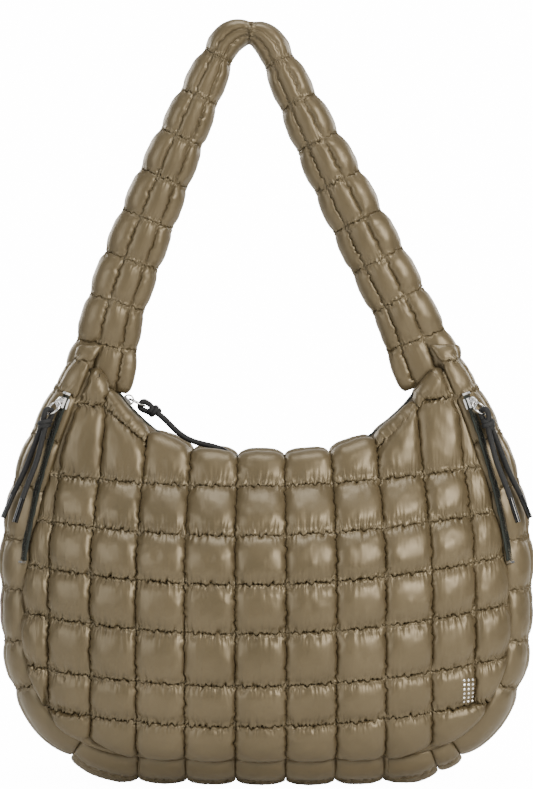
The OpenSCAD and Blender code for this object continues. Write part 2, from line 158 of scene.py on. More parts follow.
def new_object(name, points, faces, material):
    mesh = bpy.data.meshes.new(name)
    mesh.from_pydata(points.tolist(), [], faces)
    mesh.validate()
    obj = bpy.data.objects.new(name, mesh)
    bpy.context.scene.collection.objects.link(obj)
    mesh.materials.append(material)
    return obj


def solid(name, points, faces, material):
    """A smooth-shaded object, from faces that may have repeated corners."""
    obj = new_object(name, np.asarray(points), clean_faces(np.asarray(faces)), material)
    obj.data.polygons.foreach_set("use_smooth", [True] * len(obj.data.polygons))
    return obj


def sweep(points):
    """Faces and points of a tube from rings of points: an array of rings by points round each."""
    rings, around = points.shape[:2]
    faces = grid_faces(rings, around, ring=True)
    caps = [list(range(around))[::-1], list(range((rings - 1) * around, rings * around))]
    return points.reshape(-1, 3), faces.tolist() + caps


def merged(name, parts, material):
    """One object from several (points, faces) pairs, smooth except for its end caps."""
    points, faces, count = [], [], 0
    for p, f in parts:
        points.append(p)
        faces += [[i + count for i in face] for face in f]
        count += len(p)
    obj = new_object(name, np.concatenate(points), faces, material)
    obj.data.polygons.foreach_set("use_smooth", [len(f.vertices) <= 4 for f in obj.data.polygons])
    return obj


def tube_rings(path, radius, around, relief=None):
    """Rings of points round a path, turned as little as possible from one to the next."""
    tangent = unit(np.gradient(path, axis=0))
    normal = np.empty_like(path)
    start = np.cross(tangent[0], [0.3, 0.5, 0.81])
    normal[0] = start / np.linalg.norm(start)
    for i in range(1, len(path)):
        n = normal[i - 1] - tangent[i] * (normal[i - 1] @ tangent[i])
        normal[i] = n / np.linalg.norm(n)
    other = np.cross(tangent, normal)
    a = np.linspace(0, 2 * np.pi, around, endpoint=False)
    s = np.concatenate([[0], np.cumsum(np.linalg.norm(np.diff(path, axis=0), axis=1))])
    r = np.full((len(path), around), radius)
    if relief is not None:
        r = r + relief(s[:, None], a[None, :])
    ring = normal[:, None] * np.cos(a)[None, :, None] + other[:, None] * np.sin(a)[None, :, None]
    return path[:, None] + ring * r[..., None]


def node_points(name):
    obj = frame["nodes"][name]
    return np.array([obj.matrix_world @ v.co for v in obj.data.vertices])


def stand_for(obj, nodes, body):
    """The object replaces these CAD nodes and moves with this body."""
    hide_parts(*nodes)
    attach(obj, body)


# ---------------------------------------------------------------- the body's smooth shape

def seam_half_d(z):
    return LOBE_HALF_D + (LOBE_Z - z) * SEAM_SLOPE


def belly_d(z):
    low = np.sqrt(np.clip(1 - ((BELLY_Z - np.maximum(z, SEAM_Z)) / (BELLY_Z - SEAM_Z)) ** 2, 0, 1))
    t = np.maximum(z - BELLY_Z, 0) / (LOBE_Z - BELLY_Z) / MOUTH_SHARE
    high = LIP_HALF_D + (BELLY_HALF_D - LIP_HALF_D) / (1 + t**BELLY_FALLOFF)
    return np.where(z < BELLY_Z, BASE_HALF_D + (BELLY_HALF_D - BASE_HALF_D) * low, high)


def half_w(z):
    low = np.clip((WIDEST_Z - np.maximum(z, SEAM_Z)) / (WIDEST_Z - SEAM_Z), 0, 1)
    high = np.clip((z - WIDEST_Z) / (LOBE_Z - WIDEST_Z), 0, None)
    low_w = BASE_HALF_W + HALF_W_GAIN * np.sqrt(np.clip(1 - low ** (2 / CORNER_SHAPE), 0, 1))
    return np.where(z < WIDEST_Z, low_w, PANEL_HALF_W - LOBE_LOSS * high**SIDE_SHAPE)


def panel_d(x, z):
    s = seam_half_d(z)
    return s + (belly_d(z) - s) * np.clip(1 - (x / half_w(z)) ** 2, 0, 1) ** PANEL_FULLNESS


def bottom_z(x):
    """Height of a panel's lower edge at x: level in the middle, then round the corner."""
    share = np.clip((np.abs(x) - BASE_HALF_W) / HALF_W_GAIN, 0, 1)
    return WIDEST_Z - (WIDEST_Z - SEAM_Z) * (1 - share**2) ** (CORNER_SHAPE / 2)


def rim_height(x):
    return RIM_Z + (LOBE_Z - RIM_Z) * np.clip(np.abs(x) / LOBE_HALF_W, 0, 1) ** RIM_SHAPE


def out_dir(p):
    """Outwards from the bag at p, as from a rounded body with its middle at belly height."""
    return unit(np.stack([p[..., 0] / 0.26**2, p[..., 1] / 0.12**2,
                          np.minimum(0, p[..., 2] - 0.12) / 0.12**2], -1))


# ---------------------------------------------------------------- cloth: a library of quilt puffs

PITCH = 52 * MM
RES = 34                # steps across one puff
LIBRARY_SIDE = 4        # the sheet that is simulated holds this many puffs each way
SIM_SCALE = 10          # cloth settles better when it is simulated large


def simulate_sheet(seed, fullness_u, fullness_v, pressure, frames=34):
    """A sheet of too-wide cloth, held along a square grid of seams and blown up from behind.
    Returns how each of its points moved, in shares of the seam pitch."""
    cell = PITCH * SIM_SCALE
    count = LIBRARY_SIDE * RES + 1
    rng = np.random.default_rng(seed)
    line = np.arange(count) * cell / RES
    flat = np.zeros((count, count, 3))
    flat[..., 0], flat[..., 1] = np.meshgrid(line, line, indexing="ij")
    on_seam = np.arange(count) % RES == 0
    held = on_seam[:, None] | on_seam[None, :]
    share = (np.arange(count) % RES) / RES
    bump = np.sin(np.pi * share)
    start = flat.copy()
    noise = rng.normal(0, 1, (count, count))
    for _ in range(3):
        noise = (noise + np.roll(noise, 1, 0) + np.roll(noise, -1, 0) + np.roll(noise, 1, 1)
                 + np.roll(noise, -1, 1)) / 5
    start[..., 2] = 0.11 * cell * bump[:, None] * bump[None, :] + 0.012 * cell * noise / noise.std()
    start[held] = flat[held]
    rest = flat * np.array([fullness_u, fullness_v, 1])

    index = np.arange(count * count).reshape(count, count)
    mesh = bpy.data.meshes.new("puff_sheet")
    mesh.from_pydata(start.reshape(-1, 3).tolist(), [], grid_faces(count, count).tolist())
    sheet = bpy.data.objects.new("puff_sheet", mesh)
    bpy.context.scene.collection.objects.link(sheet)
    sheet.shape_key_add(name="Basis")
    slack = sheet.shape_key_add(name="slack")
    slack.data.foreach_set("co", rest.reshape(-1))
    slack.value = 0
    group = sheet.vertex_groups.new(name="held")
    group.add(index[held].tolist(), 1.0, "REPLACE")
    cloth = sheet.modifiers.new("cloth", "CLOTH")
    s = cloth.settings
    s.vertex_group_mass = "held"
    s.rest_shape_key = slack
    s.quality = 5
    s.mass = 0.3
    s.air_damping = 2
    s.tension_stiffness = s.compression_stiffness = 15
    s.shear_stiffness = 5
    s.bending_stiffness = 0.6
    s.tension_damping = s.compression_damping = s.shear_damping = 5
    s.bending_damping = 0.5
    s.use_pressure = True
    s.uniform_pressure_force = pressure
    s.effector_weights.gravity = 0
    cloth.collision_settings.use_collision = False
    cloth.point_cache.frame_start = 1
    cloth.point_cache.frame_end = frames
    for f in range(1, frames + 1):
        bpy.context.scene.frame_set(f)
    settled = sheet.evaluated_get(bpy.context.evaluated_depsgraph_get()).to_mesh()
    out = np.empty(count * count * 3)
    settled.vertices.foreach_get("co", out)
    bpy.context.scene.frame_set(1)
    bpy.data.objects.remove(sheet)
    bpy.data.meshes.remove(mesh)
    return (out.reshape(count, count, 3) - flat) / cell


def soften(sheet, times):
    """Evens out the finest ripples of the sheet, away from its held seams."""
    share = np.abs((np.arange(len(sheet)) % RES) / RES - 0.5) * 2
    free = (1 - share**6)[:, None, None] * (1 - share**6)[None, :, None]
    for _ in range(times):
        near = (np.roll(sheet, 1, 0) + np.roll(sheet, -1, 0)
                + np.roll(sheet, 1, 1) + np.roll(sheet, -1, 1)) / 4
        sheet = mix(sheet, near, 0.7 * free)
    return sheet


def puff_library():
    sheet = soften(simulate_sheet(7, 1.26, 1.12, 14), 6)
    tall = np.percentile(sheet[..., 2], 97)
    puffs = []
    for i in range(LIBRARY_SIDE):
        for j in range(LIBRARY_SIDE):
            puff = sheet[i * RES:(i + 1) * RES + 1, j * RES:(j + 1) * RES + 1].copy()
            puff[..., 2] /= tall
            puffs.append(puff)
    return puffs


puffs = puff_library()
pick = np.random.default_rng(11)


def random_puff():
    """One puff of the library, turned over left to right or top to bottom by chance."""
    puff = puffs[pick.integers(len(puffs))]
    if pick.random() < 0.5:
        puff = puff[::-1] * np.array([-1, 1, 1])
    if pick.random() < 0.5:
        puff = puff[:, ::-1] * np.array([1, -1, 1])
    return puff


def sample_puff(puff, u, v):
    """The puff's movement at shares u and v of the patch, read between its own points."""
    i, j = np.clip(u * RES, 0, RES - 1e-6), np.clip(v * RES, 0, RES - 1e-6)
    i0, j0 = np.floor(i).astype(int), np.floor(j).astype(int)
    fi, fj = (i - i0)[..., None], (j - j0)[..., None]
    return ((puff[i0, j0] * (1 - fi) + puff[i0 + 1, j0] * fi) * (1 - fj)
            + (puff[i0, j0 + 1] * (1 - fi) + puff[i0 + 1, j0 + 1] * fi) * fj)


# ---------------------------------------------------------------- seams: gathers and crooked stitching

def wander(s, seed, length):
    """Slow, smooth, repeatable noise between about -1 and 1."""
    total = 0
    for k in range(3):
        total = total + np.sin(2 * np.pi * s * (1 + 0.73 * k) / length + 2.4 * (seed + 1) * (k + 1))
    return total / 2.2


def gathers(s, d, seed, pitch, reach, at_seam):
    """Rounded pleats with sharp valleys between them, running out from a seam. s runs along it, d away."""
    phase = (np.pi * s / pitch + 2.2 * wander(s, seed, 4.3 * pitch)
             + 1.1 * d / reach * wander(s, seed + 3, 24 * MM))
    crest = np.abs(np.sin(phase)) ** 0.7
    far = reach * (1 + 0.7 * wander(s, seed + 9, 2.3 * pitch))
    return (crest - 0.6) * mix(at_seam, 1, smooth(d / (2 * MM))) * np.exp(-(d / far) ** 1.3)


def ruffles(s, d, seed):
    """The crumpled band that gathered cloth makes along a level seam: short folds that lean both ways."""
    lean = 0.55 * wander(s, seed + 2, 9 * MM)
    first = np.sin(2 * np.pi * (s + lean * d) / (3.7 * MM) + 2 * wander(s, seed, 17 * MM))
    second = np.sin(2 * np.pi * (s - 0.8 * d) / (5.9 * MM) + 2.6 * wander(s, seed + 1, 13 * MM))
    return first * 0.6 + second * 0.5 + 0.35


class Quilt:
    """Collects puffs, each laid on its own patch of a surface, and welds them into one mesh.

    frame(p, u, v) gives, for each point: outwards, along the upright seams, along the level seams, and
    how far along the level and the upright seams it is. It depends on place alone, so neighbours agree."""

    def __init__(self, steps_u, steps_v, frame, height=PUFF_HEIGHT, gather=3.2 * MM):
        u = np.linspace(0, 1, steps_u + 1)
        v = np.linspace(0, 1, steps_v + 1)
        v = mix(v, (1 - np.cos(np.pi * v)) / 2, 0.8)
        self.u, self.v = np.meshgrid(u, v, indexing="ij")
        self.frame = frame
        self.height = height
        self.gather = gather
        self.points = []
        self.faces = []
        self.count = 0

    def slopes(self, surface):
        e = 1e-3
        u, v = self.u, self.v
        u0, u1 = np.clip(u - e, 0, 1), np.clip(u + e, 0, 1)
        v0, v1 = np.clip(v - e, 0, 1), np.clip(v + e, 0, 1)
        du = (surface(u1, v) - surface(u0, v)) / (u1 - u0)[..., None]
        dv = (surface(u, v1) - surface(u, v0)) / (v1 - v0)[..., None]
        return du, dv

    def seam_shift(self, p, wide, tall, seams):
        """How the four seams round a patch pull it: gathers at the level ones, puckers at the upright."""
        u, v = self.u, self.v
        out, up, side, along, rise = self.frame(p, u, v)
        low, high, left, right = seams
        total = np.zeros_like(p)
        for seed, share in ((low, v), (high, 1 - v)):
            if seed is None:
                continue
            d = share * tall
            keep = (1 - share) ** 2
            fold = self.gather * gathers(along, d, seed, 4.3 * MM, 8.5 * MM, 0.5) * keep
            # the gathered cloth stands up in a crumpled cord along the stitching, between two valleys
            band = np.exp(-(d / (2.9 * MM)) ** 2)
            stand = np.minimum(0.95 + 0.9 * ruffles(along, d, seed), 1.6)
            crumple = self.gather * stand * band * (0.35 + 0.65 * np.sin(np.pi * np.clip(u, 0, 1)) ** 0.5)
            crook = (1.5 * MM * wander(along, seed + 5, 15 * MM) * np.exp(-(d / (7 * MM)) ** 2)
                     + 0.7 * MM * wander(along, seed + 7, 4.1 * MM) * band) * keep
            total += out * (fold + crumple)[..., None] + up * crook[..., None]
        for seed, share in ((left, u), (right, 1 - u)):
            if seed is None:
                continue
            d = share * wide
            keep = (1 - share) ** 2
            fold = 0.35 * self.gather * gathers(rise, d, seed, 7 * MM, 6 * MM, 0.2) * keep
            crook = (1.0 * MM * wander(rise, seed + 5, 21 * MM)
                     + 0.8 * MM * wander(rise, seed + 7, 8 * MM)) * np.exp(-(d / (6 * MM)) ** 2) * keep
            total += out * fold[..., None] + side * crook[..., None]
        return total

    def add(self, surface, seams=(None, None, None, None), flip=False):
        """surface(u, v) gives the patch's points for u and v from 0 to 1. Puffs rise along u cross v."""
        puff = sample_puff(random_puff(), self.u, self.v)
        p = surface(self.u, self.v)
        du, dv = self.slopes(surface)
        n = unit(np.cross(du, dv)) * (-1 if flip else 1)
        wide = np.linalg.norm(du, axis=-1)
        tall = np.linalg.norm(dv, axis=-1)
        size = np.minimum(np.minimum(wide.mean(), tall.mean()) / PITCH, 1.1) ** 0.55
        # a puff never stands taller than the patch under it is wide
        lift = self.height * size * np.minimum(1, np.minimum(wide, tall) / (0.35 * PITCH))
        # wadding fills a puff right up to its seams, and there its walls lean out over them
        arch = np.sin(np.pi * self.u) * np.sin(np.pi * self.v)
        arch = np.clip(arch, 0, 1)
        h = puff[..., 2] * 0.5 + 0.4 * arch ** 0.6 + 0.42 * arch ** 0.32 * (1 - arch)
        lean_u = puff[..., 0] - 0.085 * h * np.cos(np.pi * self.u)
        lean_v = puff[..., 1] - 0.012 * h * np.cos(np.pi * self.v)
        shift = self.seam_shift(p, wide, tall, seams)
        p = p + du * lean_u[..., None] + dv * lean_v[..., None] + n * (h * lift)[..., None] + shift
        self.points.append(p.reshape(-1, 3))
        quads = grid_faces(*p.shape[:2], self.count)
        self.faces.append(quads[:, ::-1] if flip else quads)
        self.count += p[..., 0].size

    def build(self, name, material):
        points = np.concatenate(self.points)
        faces = np.concatenate(self.faces)
        key = np.round(points / (0.02 * MM)).astype(np.int64)
        _, first, back = np.unique(key, axis=0, return_index=True, return_inverse=True)
        back = back.reshape(-1)
        return solid(name, points[first], back[faces], material)


# ---------------------------------------------------------------- materials

def node_material(name, base, roughness, **inputs):
    material = bpy.data.materials.new(name)
    material.use_nodes = True
    nodes, links = material.node_tree.nodes, material.node_tree.links
    shader = nodes["Principled BSDF"]
    shader.inputs["Base Color"].default_value = (*base, 1)
    shader.inputs["Roughness"].default_value = roughness
    for key, value in inputs.items():
        shader.inputs[key.replace("_", " ")].default_value = value
    return material, nodes, links, shader


def noise_node(nodes, links, scale, detail=3, stretch=(1, 1, 1)):
    place = nodes.new("ShaderNodeTexCoord")
    mapping = nodes.new("ShaderNodeMapping")
    mapping.inputs["Scale"].default_value = stretch
    noise = nodes.new("ShaderNodeTexNoise")
    noise.inputs["Scale"].default_value = scale
    noise.inputs["Detail"].default_value = detail
    links.new(place.outputs["Object"], mapping.inputs["Vector"])
    links.new(mapping.outputs["Vector"], noise.inputs["Vector"])
    return noise


def bump_node(nodes, links, height, shader, strength, distance, below=None):
    bump = nodes.new("ShaderNodeBump")
    bump.inputs["Strength"].default_value = strength
    bump.inputs["Distance"].default_value = distance
    links.new(height, bump.inputs["Height"])
    if below is not None:
        links.new(below.outputs["Normal"], bump.inputs["Normal"])
    links.new(bump.outputs["Normal"], shader.inputs["Normal"])
    return bump


def ramp_node(nodes, links, source, stops):
    ramp = nodes.new("ShaderNodeValToRGB")
    ramp.color_ramp.elements[0].position, ramp.color_ramp.elements[0].color = stops[0][0], (*stops[0][1], 1)
    ramp.color_ramp.elements[1].position, ramp.color_ramp.elements[1].color = stops[1][0], (*stops[1][1], 1)
    links.new(source, ramp.inputs["Fac"])
    return ramp


def nylon_material():
    material, nodes, links, shader = node_material("satin_nylon", (0.1, 0.075, 0.038), 0.42, Metallic=0.25)
    shader.inputs["Specular IOR Level"].default_value = 0.75
    shader.inputs["Specular Tint"].default_value = (1, 0.9, 0.72, 1)
    tone = noise_node(nodes, links, 16, 3)
    stops = [(0.3, (0.079, 0.059, 0.029)), (0.7, (0.102, 0.077, 0.040))]
    ramp = ramp_node(nodes, links, tone.outputs["Fac"], stops)
    links.new(ramp.outputs["Color"], shader.inputs["Base Color"])
    silk = noise_node(nodes, links, 62, 2, (1, 1, 0.4))
    first = bump_node(nodes, links, silk.outputs["Fac"], shader, 0.34, 2.2 * MM)
    weave = noise_node(nodes, links, 1600, 1, (1, 1, 0.4))
    bump_node(nodes, links, weave.outputs["Fac"], shader, 0.1, 0.1 * MM, first)
    return material


nylon = nylon_material()

# ---------------------------------------------------------------- quilt lines of a panel

COLUMN_R = 400 * MM     # the vertical seams step evenly round a curve of this radius
COLUMN_STEP = 7.45      # degrees from one to the next
COLUMN_MIDDLE = 2.85    # degrees by which the middle seam stands right of the centre
ROW_HEIGHTS = np.array([68, 112, 165, 214, 261, 309, 385]) * MM
ROW_SAG = 20 * MM       # the level seams hang lower in the middle
ROW_TILT = 4.5 * MM     # and a little lower on the left than on the right
RIM_ROLL = 7 * MM       # the cloth turns over the rim with this radius
RIM_DROP = 14 * MM      # the puffs of the top row rise this far over the cloth they stand on
NEAR_RIM = 370 * MM     # the top row takes the x of its upright seams from this height
column_x = [COLUMN_R * math.sin(math.radians(COLUMN_MIDDLE + COLUMN_STEP * k)) for k in range(-5, 5)]
LAST = len(column_x) - 1


def column(k):
    """The x of vertical seam k at height z. Seam -1 is the left edge and seam LAST + 1 the right one."""
    if k < 0:
        return lambda z: -half_w(z)
    if k > LAST:
        return lambda z: half_w(z)
    x = column_x[k]
    margin = {0: 5, LAST: 5}.get(k, 16) * MM
    side = math.copysign(1, x)

    def at(z):
        lean = 1 - 0.045 * smooth((z - 0.225) / 0.18)
        return side * np.minimum(abs(x) * lean, np.maximum(half_w(z) - margin, 0))
    return at


def row(j):
    """The height of horizontal seam j at x. Seam 0 is the lower edge."""
    if j == 0:
        return bottom_z
    if j > len(ROW_HEIGHTS):
        return rim_shoulder
    return lambda x: np.maximum(ROW_HEIGHTS[j - 1] + ROW_SAG * (x / PANEL_HALF_W) ** 2
                                + ROW_TILT * x / PANEL_HALF_W, bottom_z(x))


def patch_xz(left, right, low, high, u, v):
    """Points between two vertical seams and two horizontal ones, by settling x and z on each other."""
    z = np.full_like(u, 0.2)
    x = mix(left(z), right(z), u)
    for _ in range(12):
        z = mix(low(x), high(x), v)
        x = mix(left(z), right(z), u)
    return x, z


def panel_point(x, z, sign):
    p = np.stack([x, -panel_d(x, z), z], -1)
    p = p - out_dir(p) * SEAM_INSET
    p[..., 1] *= sign
    return p


def plain_patch(left, right, low, high, sign):
    def surface(u, v):
        x, z = patch_xz(left, right, low, high, u, v)
        return panel_point(x, z, sign)
    return surface


def rim_shoulder(x):
    """Where the cloth of a panel turns over into the mouth."""
    drop = RIM_DROP * (1 - 0.6 * smooth((np.abs(x) - 140 * MM) / (40 * MM)))
    return rim_height(x) - RIM_ROLL - drop


def rim_patch(left, right, low, sign):
    """A patch of the top row, which runs up to the rim and rolls over it into the mouth."""
    def surface(u, v):
        x = mix(left(NEAR_RIM), right(NEAR_RIM), u)
        shoulder = rim_shoulder(x)
        climb = np.maximum(shoulder - low(x), 2 * MM)
        below = panel_point(x, shoulder - 2 * MM, 1)
        rise = panel_point(x, shoulder, 1) - below
        start = np.arctan2(rise[..., 1], rise[..., 2])
        roll = (math.pi - start) * RIM_ROLL
        upright = climb / (climb + roll)
        x, z = patch_xz(left, right, low, rim_shoulder, u, np.minimum(v / upright, 1))
        p = panel_point(x, z, 1)
        turn = mix(start, math.pi, np.clip((v - upright) / (1 - upright), 0, 1))
        p[..., 1] += RIM_ROLL * (np.cos(start) - np.cos(turn))
        p[..., 2] += RIM_ROLL * (np.sin(turn) - np.sin(start))
        p[..., 1] *= sign
        return p
    return surface


def slant(left, right):
    """The seam that leaves the end of a corner's level seam and runs down to the rim."""
    ends = [float(seam(np.array(NEAR_RIM))) for seam in (left, right)]
    start, end = sorted(ends, key=abs, reverse=True)
    start_z = float(row(len(ROW_HEIGHTS))(start))
    end_z = float(rim_shoulder(end)) - 3 * MM
    return lambda x: mix(start_z, end_z, np.clip((x - start) / (end - start), 0, 1))


def const(value):
    return lambda t: np.full_like(t, value)


def body_frame(p, u, v):
    along = COLUMN_R * np.arcsin(np.clip(p[..., 0] / COLUMN_R, -1, 1))
    return out_dir(p), np.array([0.0, 0, 1]), np.array([1.0, 0, 0]), along, p[..., 2]


UPRIGHT_SEED = 40       # seams are numbered: level ones from 0, upright ones from here


def build_panel(side, sign):
    quilt = Quilt(48, 26, body_frame)
    flip = sign < 0
    top = len(ROW_HEIGHTS)
    tip_x = 228 * MM
    for j in range(0, top + 1):
        for k in range(-1, LAST + 1):
            in_corner = k <= 0 or k >= LAST - 1
            slants = k in (1, LAST - 2)
            if j == 0 and k in (-1, LAST) or j == top and not (in_corner or slants):
                continue
            left, right = column(k), column(k + 1)
            if j == 0 and k == 0:
                left = const(-tip_x)
            if j == 0 and k == LAST - 1:
                right = const(tip_x)
            low = slant(left, right) if j == top and slants else row(j)
            high = slant(left, right) if j == top - 1 and slants else row(j + 1)
            reaches_rim = j == top or j == top - 1 and not (in_corner or slants)
            seeds = (j if j > 0 else None, None if reaches_rim else j + 1,
                     UPRIGHT_SEED + k if k >= 0 else None, UPRIGHT_SEED + k + 1 if k < LAST else None)
            if reaches_rim:
                patch = rim_patch(left, right, low, sign)
            else:
                patch = plain_patch(left, right, low, high, sign)
            quilt.add(patch, seeds, flip)
    obj = quilt.build(side + "_quilt", nylon)
    stand_for(obj, (side + "_shell", side + "_wadding"), "bag")


build_panel("front", 1)
build_panel("back", -1)

# ---------------------------------------------------------------- gusset

BASE_BULGE = 33 * MM
SIDE_BULGE = 25 * MM
LOBE_BULGE = 18 * MM
SHOULDER_BULGE = 12 * MM


def outline_side(z):
    """Edge point, outward normal and bulge of the right-hand outline at height z."""
    c = np.clip((WIDEST_Z - z) / (WIDEST_Z - SEAM_Z), 0, 1)
    cos_a = c ** (1 / CORNER_SHAPE)
    sin_a = np.sqrt(1 - cos_a**2)
    high = np.clip((z - WIDEST_Z) / (LOBE_Z - WIDEST_Z), 0, 1)
    below = z < WIDEST_Z
    run_x = np.where(below, HALF_W_GAIN * np.maximum(cos_a, 0) ** (2 - CORNER_SHAPE),
                     -LOBE_LOSS * SIDE_SHAPE * high ** (SIDE_SHAPE - 1))
    run_z = np.where(below, (WIDEST_Z - SEAM_Z) * CORNER_SHAPE * sin_a, LOBE_Z - WIDEST_Z)
    n = unit(np.stack([run_z, -run_x], -1))
    bulge = np.where(below, mix(BASE_BULGE, SIDE_BULGE, sin_a),
                     mix(SIDE_BULGE, LOBE_BULGE, high) + SHOULDER_BULGE * np.sin(np.pi * high))
    return half_w(z), n, bulge


def puff_profile(v):
    return np.clip(1 - np.abs(v) ** 3, 0, 1) ** 0.6


def gusset_point(x, z, n, bulge, half_d, w):
    """w runs from -1 at the front seam to 1 at the back seam."""
    v = np.sin(w * np.pi / 2)
    k = bulge * puff_profile(v)
    p = np.stack([x + n[..., 0] * k, v * half_d, z + n[..., 1] * k], -1)
    floor = 0.5 * MM
    p[..., 2] = np.maximum(p[..., 2], floor)
    p = p - out_dir(p) * SEAM_INSET
    return p


def side_patch(z0, z1, w0, w1, side):
    def surface(u, v):
        z = mix(z0, z1, v)
        x, n, bulge = outline_side(z)
        p = gusset_point(x, z, n, bulge, seam_half_d(z), mix(w0, w1, u))
        p[..., 0] *= side
        return p
    return surface


def cap_patch(w0, w1, side):
    """Above the side gusset, closing in round the foot of the strap."""
    rim = side_patch(LOBE_Z, LOBE_Z, w0, w1, 1)

    def surface(u, v):
        start = rim(u, v)
        a = mix(w0, w1, u) * np.pi / 2
        end = np.stack([CAP_MIDDLE + CAP_HALF_W * np.cos(a), CAP_HALF_D * np.sin(a),
                        LOBE_Z + CAP_RISE + 0 * a], -1)
        p = mix(start, end, v[..., None])
        p[..., 0] += 4 * MM * np.sin(np.pi * v) * np.cos(a)
        p[..., 0] *= side
        return p
    return surface


def base_patch(x0, x1, w0, w1):
    def surface(u, v):
        x = mix(x0, x1, u)
        z = bottom_z(x)
        _, n, bulge = outline_side(z)
        n = n * np.stack([np.sign(x), np.ones_like(x)], -1)
        straight = (np.abs(x) <= BASE_HALF_W)[..., None]
        n = np.where(straight, np.array([0.0, -1.0]), n)
        bulge = np.where(straight[..., 0], BASE_BULGE, bulge)
        return gusset_point(x, z, n, bulge, panel_d(x, z), mix(w1, w0, v))
    return surface


CORNER_X = 191 * MM
SIDE_ROWS = np.array([106, 151, 202, 251, 303, 353, 400]) * MM
GUSSET_PUFF = 11 * MM
SIDE_COLUMNS = 3
CAP_RISE = 20 * MM      # the top of a side gusset closes in over this height round the strap
CAP_MIDDLE = 169 * MM
CAP_HALF_W = 25 * MM
CAP_HALF_D = 14 * MM
BASE_COLUMNS = 4
BASE_SEED = 70


def side_frame(p, u, v):
    return out_dir(p), np.array([0.0, 0, 1]), np.array([0.0, 1, 0]), 1.5 * p[..., 1], p[..., 2]


def base_frame(p, u, v):
    return out_dir(p), np.array([0.0, 1, 0]), np.array([1.0, 0, 0]), p[..., 0], p[..., 1]


def strip(i, count):
    """The edges of column i, when the gusset's width from -1 to 1 is cut into this many columns."""
    return (-1 + 2 * (i + t) / count for t in (0, 1))


def build_gussets():
    heights = [float(bottom_z(np.array(CORNER_X))), *SIDE_ROWS, LOBE_Z]
    for side, name in ((-1, "left"), (1, "right")):
        quilt = Quilt(30, 28, side_frame, height=GUSSET_PUFF, gather=2.4 * MM)
        for j in range(len(heights)):
            for i in range(SIDE_COLUMNS):
                w0, w1 = strip(i, SIDE_COLUMNS)
                is_cap = j == len(heights) - 1
                seeds = (j or None, None if is_cap else j + 1, UPRIGHT_SEED + i if i else None,
                         UPRIGHT_SEED + i + 1 if i < SIDE_COLUMNS - 1 else None)
                if is_cap:
                    patch = cap_patch(w0, w1, side)
                else:
                    patch = side_patch(heights[j], heights[j + 1], w0, w1, side)
                quilt.add(patch, seeds, side < 0)
        obj = quilt.build(name + "_gusset_quilt", nylon)
        stand_for(obj, (name + "_gusset_shell", name + "_gusset_wadding"), "bag")
    quilt = Quilt(26, 26, base_frame, height=GUSSET_PUFF, gather=2.4 * MM)
    inner = [x for x in column_x if abs(x) < CORNER_X - 20 * MM]
    stations = [-CORNER_X] + inner + [CORNER_X]
    for x0, x1 in zip(stations[:-1], stations[1:]):
        for i in range(BASE_COLUMNS):
            w0, w1 = strip(i, BASE_COLUMNS)
            seeds = (BASE_SEED + i if i < BASE_COLUMNS - 1 else None,
                     BASE_SEED + i - 1 if i else None, None, None)
            quilt.add(base_patch(x0, x1, w0, w1), seeds)
    obj = quilt.build("bottom_gusset_quilt", nylon)
    stand_for(obj, ("bottom_gusset_shell", "bottom_gusset_wadding"), "bag")


build_gussets()

# ---------------------------------------------------------------- strap

PEAK_X = -20 * MM
PEAK_HALF_SPAN = 27 * MM
PEAK_FOOT_Z = 762 * MM
PEAK_RISE = 17.5 * MM
LEFT_BRANCH = np.array([[-160, 485], [-130, 578], [-87, 676], [-47, 762]]) * MM
RIGHT_BRANCH = np.array([[145, 485], [97, 578], [47, 676], [7, 762]]) * MM
STRAP_TAIL = 76 * MM    # each end of the strap runs this far down into the bag
STRAP_HALF_W = (9.5, 31)    # in mm, at the peak and at the feet
STRAP_HALF_D = (22, 30)     # in mm, at the feet and at the peak
STRAP_INSET = 7 * MM    # the strap's seams lie this far inside its CAD skin
STRAP_ROWS = 18
STRAP_SEAMS = [-53, 53, 107.5, 252.5]   # degrees round the strap from its inner side, by way of the back


def bezier(p, t):
    t = t[:, None]
    return (1 - t) ** 3 * p[0] + 3 * t * (1 - t) ** 2 * p[1] + 3 * t * t * (1 - t) * p[2] + t**3 * p[3]


def strap_line():
    """The strap's middle line in (x, z), from the left lobes over the peak to the right lobes."""
    t = np.linspace(0, 1, 60)
    left = bezier(LEFT_BRANCH, t)
    right = bezier(RIGHT_BRANCH, t)[::-1]
    radius = (PEAK_HALF_SPAN**2 + PEAK_RISE**2) / (2 * PEAK_RISE)
    half_a = math.asin(PEAK_HALF_SPAN / radius)
    a = np.linspace(-half_a, half_a, 24)[1:-1]
    peak = np.stack([PEAK_X + radius * np.sin(a), PEAK_FOOT_Z + PEAK_RISE - radius * (1 - np.cos(a))], -1)
    foot = np.linspace(1, 0.04, 14)[:, None]
    left_foot = left[0] + foot * np.array([-0.2, -1]) * STRAP_TAIL
    right_foot = right[-1] + foot[::-1] * np.array([0.36, -0.9]) * STRAP_TAIL
    line = np.concatenate([left_foot, left, peak, right, right_foot])
    for _ in range(6):
        line[1:-1] = (line[:-2] + line[1:-1] * 2 + line[2:]) / 4
    step = np.concatenate([[0], np.cumsum(np.linalg.norm(np.diff(line, axis=0), axis=1))])
    return line, step


strap_xz, strap_s = strap_line()
STRAP_LEN = strap_s[-1]


